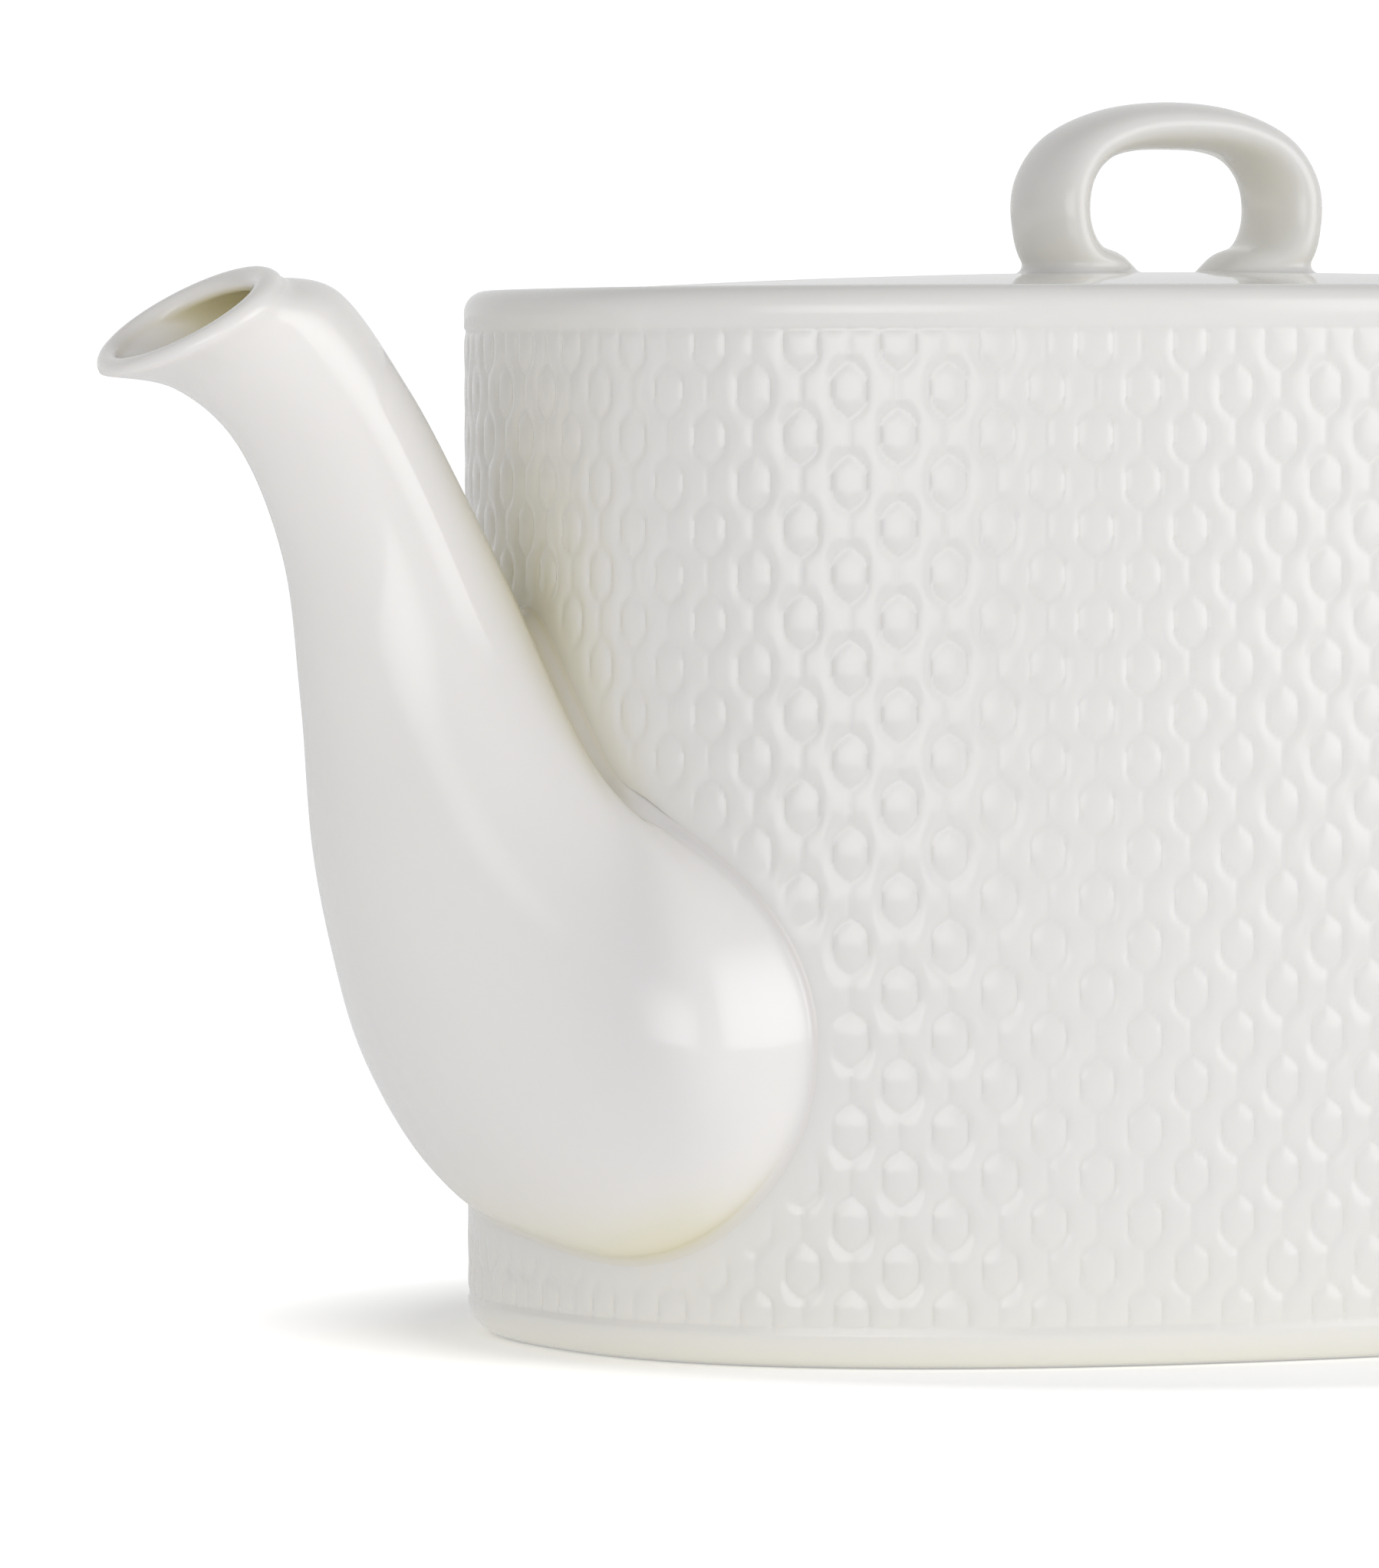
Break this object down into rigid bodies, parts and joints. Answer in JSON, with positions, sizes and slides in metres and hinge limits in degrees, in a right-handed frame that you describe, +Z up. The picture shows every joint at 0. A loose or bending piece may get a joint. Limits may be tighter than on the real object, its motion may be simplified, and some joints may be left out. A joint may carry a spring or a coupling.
{
  "type": "teapot with infuser",
  "caption": "Oval china teapot with an embossed vertical wall, S-shaped spout, loop handle, flush lid with loop knob, and a lift-out steel leaf infuser with folding grips.",
  "frame": {"origin": "centre of the plane that the foot ring rests on, under the middle of the oval body", "axes": "+Z up, +X from the spout to the handle along the long axis of the oval, +Y across it"},
  "size_m": [0.234, 0.101, 0.1236],
  "materials": {
    "bone_china": "clear gloss glaze over warm white bone china",
    "stainless_sheet": "satin stainless sheet",
    "stainless_wire": "drawn and polished stainless wire"
  },
  "bodies": {
    "pot": {"pot_body": "bone_china", "spout": "bone_china", "handle": "bone_china"},
    "infuser": {"infuser_collar": "stainless_sheet", "infuser_wall": "stainless_sheet", "infuser_seam": "stainless_sheet", "infuser_base_ring": "stainless_sheet", "infuser_base": "stainless_sheet", "spout_side_lug": "stainless_sheet", "handle_side_lug": "stainless_sheet"},
    "lid_body": {"lid": "bone_china", "lid_knob": "bone_china"},
    "spout_grip_body": {"spout_side_grip": "stainless_wire"},
    "handle_grip_body": {"handle_side_grip": "stainless_wire"}
  },
  "joints": [
    {"name": "infuser_lift", "type": "slide", "parent": "pot", "child": "infuser", "axis": [0, 0, 1], "range_m": [0, 0.1]},
    {"name": "lid_lift", "type": "slide", "parent": "infuser", "child": "lid_body", "axis": [0, 0, 1], "range_m": [0, 0.06]},
    {"name": "spout_grip_fold", "type": "hinge", "parent": "infuser", "child": "spout_grip_body", "pos_m": [-0.0578, 0, 0.0885], "axis": [0, -1, 0], "range_deg": [0, 110]},
    {"name": "handle_grip_fold", "type": "hinge", "parent": "infuser", "child": "handle_grip_body", "pos_m": [0.0578, 0, 0.0885], "axis": [0, 1, 0], "range_deg": [0, 110]}
  ]
}
